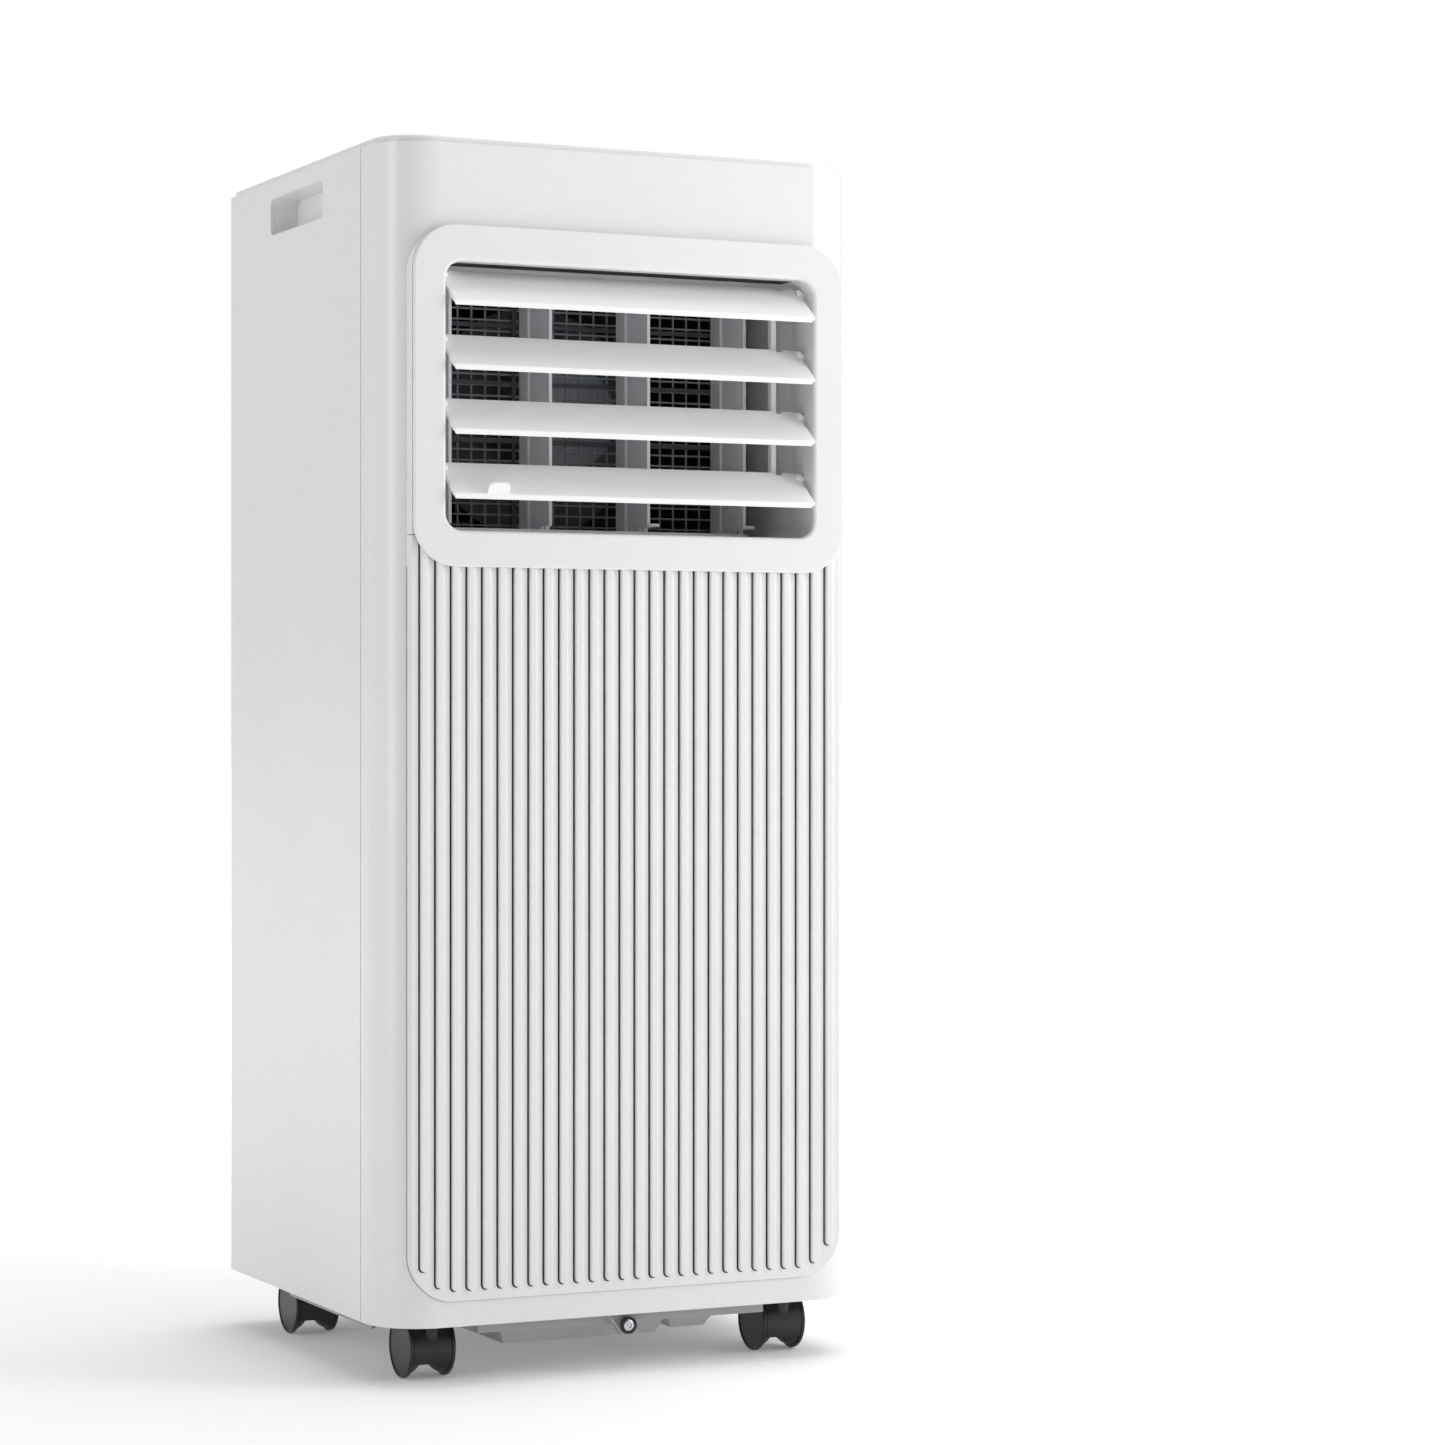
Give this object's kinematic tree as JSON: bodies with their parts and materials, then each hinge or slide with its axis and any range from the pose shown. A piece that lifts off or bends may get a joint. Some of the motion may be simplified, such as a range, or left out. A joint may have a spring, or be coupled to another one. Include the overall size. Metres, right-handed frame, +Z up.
{
  "type": "portable air conditioner",
  "caption": "Free-standing room air conditioner on swivel castors, with tilting outlet louvres, ribbed front, side handles and a rear exhaust collar.",
  "frame": {"origin": "on the floor under the middle of the housing's footprint", "axes": "+Z up, front with the outlet faces -Y, +X to the right seen from the front"},
  "size_m": [0.291, 0.2995, 0.6855],
  "materials": {
    "white_shell": "satin",
    "white_louvre": "satin",
    "pan_grey": "satin",
    "duct_grey": "matte",
    "box_dark": "matte",
    "castor_black": "satin",
    "button_grey": "satin",
    "display_black": "gloss",
    "board_green": "satin",
    "coil_fins": "satin",
    "copper_tube": "satin",
    "steel_screw": "brushed",
    "motor_can": "satin",
    "compressor_black": "satin",
    "fan_white": "matte",
    "rubber_black": "matte",
    "mesh_nylon": "matte"
  },
  "bodies": {
    "chassis": {"front_housing": "white_shell", "side_panel_left": "white_shell", "side_panel_right": "white_shell", "handle_cup_left": "white_shell", "handle_cup_right": "white_shell", "rear_panel": "white_shell", "top_front_cap": "white_shell", "top_rear_cap": "white_shell", "control_board": "board_green", "display_window": "display_black", "rib_panel": "white_shell", "louvre_frame": "white_shell", "outlet_duct": "duct_grey", "upper_blower_box": "box_dark", "upper_motor": "motor_can", "lower_blower_box": "box_dark", "lower_motor": "motor_can", "divider_tray": "pan_grey", "evaporator_coil": "coil_fins", "condenser_coil": "coil_fins", "compressor": "compressor_black", "compressor_feet": "rubber_black", "copper_pipes": "copper_tube", "lower_grille": "white_shell", "exhaust_collar": "white_shell", "cord_inlet": "castor_black", "base_pan": "pan_grey", "screws": "steel_screw"},
    "louvre_blade_1": {"louvre_blade_1": "white_louvre"},
    "louvre_blade_2": {"louvre_blade_2": "white_louvre"},
    "louvre_blade_3": {"louvre_blade_3": "white_louvre"},
    "louvre_blade_4": {"louvre_blade_4": "white_louvre"},
    "louvre_link": {"louvre_link": "white_louvre"},
    "vane_1": {"vane_1": "duct_grey"},
    "vane_2": {"vane_2": "duct_grey"},
    "vane_3": {"vane_3": "duct_grey"},
    "vane_4": {"vane_4": "duct_grey"},
    "vane_link": {"vane_link": "duct_grey"},
    "upper_blower_wheel": {"upper_blower_wheel": "fan_white"},
    "lower_blower_wheel": {"lower_blower_wheel": "fan_white"},
    "button_power": {"button_power": "button_grey"},
    "button_mode": {"button_mode": "button_grey"},
    "button_fan": {"button_fan": "button_grey"},
    "button_down": {"button_down": "button_grey"},
    "button_up": {"button_up": "button_grey"},
    "filter_cassette": {"filter_cassette": "white_shell", "filter_mesh": "mesh_nylon"},
    "drain_plug": {"drain_plug": "rubber_black"},
    "castor_front_left": {"castor_fork_front_left": "castor_black"},
    "castor_wheel_front_left_l": {"castor_wheel_front_left_l": "castor_black"},
    "castor_wheel_front_left_r": {"castor_wheel_front_left_r": "castor_black"},
    "castor_front_right": {"castor_fork_front_right": "castor_black"},
    "castor_wheel_front_right_l": {"castor_wheel_front_right_l": "castor_black"},
    "castor_wheel_front_right_r": {"castor_wheel_front_right_r": "castor_black"},
    "castor_rear_left": {"castor_fork_rear_left": "castor_black"},
    "castor_wheel_rear_left_l": {"castor_wheel_rear_left_l": "castor_black"},
    "castor_wheel_rear_left_r": {"castor_wheel_rear_left_r": "castor_black"},
    "castor_rear_right": {"castor_fork_rear_right": "castor_black"},
    "castor_wheel_rear_right_l": {"castor_wheel_rear_right_l": "castor_black"},
    "castor_wheel_rear_right_r": {"castor_wheel_rear_right_r": "castor_black"}
  },
  "joints": [
    {"name": "louvre_1_tilt", "type": "hinge", "parent": "chassis", "child": "louvre_blade_1", "pos_m": [0, -0.12691, 0.6091], "axis": [1, 0, 0], "range_deg": [-38, 46]},
    {"name": "louvre_2_tilt", "type": "hinge", "parent": "chassis", "child": "louvre_blade_2", "pos_m": [0, -0.12691, 0.5739], "axis": [1, 0, 0], "range_deg": [-38, 46]},
    {"name": "louvre_3_tilt", "type": "hinge", "parent": "chassis", "child": "louvre_blade_3", "pos_m": [0, -0.12691, 0.5387], "axis": [1, 0, 0], "range_deg": [-38, 46]},
    {"name": "louvre_4_tilt", "type": "hinge", "parent": "chassis", "child": "louvre_blade_4", "pos_m": [0, -0.12691, 0.5035], "axis": [1, 0, 0], "range_deg": [-38, 46]},
    {"name": "louvre_link_pin", "type": "hinge", "parent": "louvre_blade_1", "child": "louvre_link", "pos_m": [0.0975, -0.11641, 0.60328], "axis": [1, 0, 0], "range_deg": [-46, 38]},
    {"name": "vane_1_swing", "type": "hinge", "parent": "chassis", "child": "vane_1", "pos_m": [-0.0915, -0.063, 0.54], "axis": [0, 0, 1], "range_deg": [-25, 25]},
    {"name": "vane_2_swing", "type": "hinge", "parent": "chassis", "child": "vane_2", "pos_m": [-0.0305, -0.063, 0.54], "axis": [0, 0, 1], "range_deg": [-25, 25]},
    {"name": "vane_3_swing", "type": "hinge", "parent": "chassis", "child": "vane_3", "pos_m": [0.0305, -0.063, 0.54], "axis": [0, 0, 1], "range_deg": [-25, 25]},
    {"name": "vane_4_swing", "type": "hinge", "parent": "chassis", "child": "vane_4", "pos_m": [0.0915, -0.063, 0.54], "axis": [0, 0, 1], "range_deg": [-25, 25]},
    {"name": "vane_link_pin", "type": "hinge", "parent": "vane_1", "child": "vane_link", "pos_m": [-0.0915, -0.088, 0.472], "axis": [0, 0, 1], "range_deg": [-25, 25]},
    {"name": "upper_blower_spin", "type": "hinge", "parent": "chassis", "child": "upper_blower_wheel", "pos_m": [0, 0, 0.5415], "axis": [0, 1, 0], "continuous": true},
    {"name": "lower_blower_spin", "type": "hinge", "parent": "chassis", "child": "lower_blower_wheel", "pos_m": [0, 0.03, 0.15], "axis": [0, 1, 0], "continuous": true},
    {"name": "button_power_press", "type": "slide", "parent": "chassis", "child": "button_power", "axis": [0, 0, -1], "range_m": [0, 0.0012], "stiffness_N_per_m": 400},
    {"name": "button_mode_press", "type": "slide", "parent": "chassis", "child": "button_mode", "axis": [0, 0, -1], "range_m": [0, 0.0012], "stiffness_N_per_m": 400},
    {"name": "button_fan_press", "type": "slide", "parent": "chassis", "child": "button_fan", "axis": [0, 0, -1], "range_m": [0, 0.0012], "stiffness_N_per_m": 400},
    {"name": "button_down_press", "type": "slide", "parent": "chassis", "child": "button_down", "axis": [0, 0, -1], "range_m": [0, 0.0012], "stiffness_N_per_m": 400},
    {"name": "button_up_press", "type": "slide", "parent": "chassis", "child": "button_up", "axis": [0, 0, -1], "range_m": [0, 0.0012], "stiffness_N_per_m": 400},
    {"name": "filter_cassette_pull", "type": "slide", "parent": "chassis", "child": "filter_cassette", "axis": [0, 1, 0], "range_m": [0, 0.08]},
    {"name": "drain_plug_pull", "type": "slide", "parent": "chassis", "child": "drain_plug", "axis": [0, 1, 0], "range_m": [0, 0.03]},
    {"name": "castor_front_left_swivel", "type": "hinge", "parent": "chassis", "child": "castor_front_left", "pos_m": [-0.1085, -0.102, 0.044], "axis": [0, 0, 1], "continuous": true},
    {"name": "castor_front_left_roll_l", "type": "hinge", "parent": "castor_front_left", "child": "castor_wheel_front_left_l", "pos_m": [-0.1085, -0.094, 0.0175], "axis": [1, 0, 0], "continuous": true},
    {"name": "castor_front_left_roll_r", "type": "hinge", "parent": "castor_front_left", "child": "castor_wheel_front_left_r", "pos_m": [-0.1085, -0.094, 0.0175], "axis": [1, 0, 0], "continuous": true},
    {"name": "castor_front_right_swivel", "type": "hinge", "parent": "chassis", "child": "castor_front_right", "pos_m": [0.1085, -0.102, 0.044], "axis": [0, 0, 1], "continuous": true},
    {"name": "castor_front_right_roll_l", "type": "hinge", "parent": "castor_front_right", "child": "castor_wheel_front_right_l", "pos_m": [0.1085, -0.094, 0.0175], "axis": [1, 0, 0], "continuous": true},
    {"name": "castor_front_right_roll_r", "type": "hinge", "parent": "castor_front_right", "child": "castor_wheel_front_right_r", "pos_m": [0.1085, -0.094, 0.0175], "axis": [1, 0, 0], "continuous": true},
    {"name": "castor_rear_left_swivel", "type": "hinge", "parent": "chassis", "child": "castor_rear_left", "pos_m": [-0.1135, 0.0725, 0.044], "axis": [0, 0, 1], "continuous": true},
    {"name": "castor_rear_left_roll_l", "type": "hinge", "parent": "castor_rear_left", "child": "castor_wheel_rear_left_l", "pos_m": [-0.1135, 0.0805, 0.0175], "axis": [1, 0, 0], "continuous": true},
    {"name": "castor_rear_left_roll_r", "type": "hinge", "parent": "castor_rear_left", "child": "castor_wheel_rear_left_r", "pos_m": [-0.1135, 0.0805, 0.0175], "axis": [1, 0, 0], "continuous": true},
    {"name": "castor_rear_right_swivel", "type": "hinge", "parent": "chassis", "child": "castor_rear_right", "pos_m": [0.1135, 0.0725, 0.044], "axis": [0, 0, 1], "continuous": true},
    {"name": "castor_rear_right_roll_l", "type": "hinge", "parent": "castor_rear_right", "child": "castor_wheel_rear_right_l", "pos_m": [0.1135, 0.0805, 0.0175], "axis": [1, 0, 0], "continuous": true},
    {"name": "castor_rear_right_roll_r", "type": "hinge", "parent": "castor_rear_right", "child": "castor_wheel_rear_right_r", "pos_m": [0.1135, 0.0805, 0.0175], "axis": [1, 0, 0], "continuous": true}
  ],
  "couplings": [
    {"joint": "louvre_2_tilt", "follows": "louvre_1_tilt", "ratio": 1},
    {"joint": "louvre_3_tilt", "follows": "louvre_1_tilt", "ratio": 1},
    {"joint": "louvre_4_tilt", "follows": "louvre_1_tilt", "ratio": 1},
    {"joint": "louvre_link_pin", "follows": "louvre_1_tilt", "ratio": -1},
    {"joint": "vane_2_swing", "follows": "vane_1_swing", "ratio": 1},
    {"joint": "vane_3_swing", "follows": "vane_1_swing", "ratio": 1},
    {"joint": "vane_4_swing", "follows": "vane_1_swing", "ratio": 1},
    {"joint": "vane_link_pin", "follows": "vane_1_swing", "ratio": -1}
  ]
}
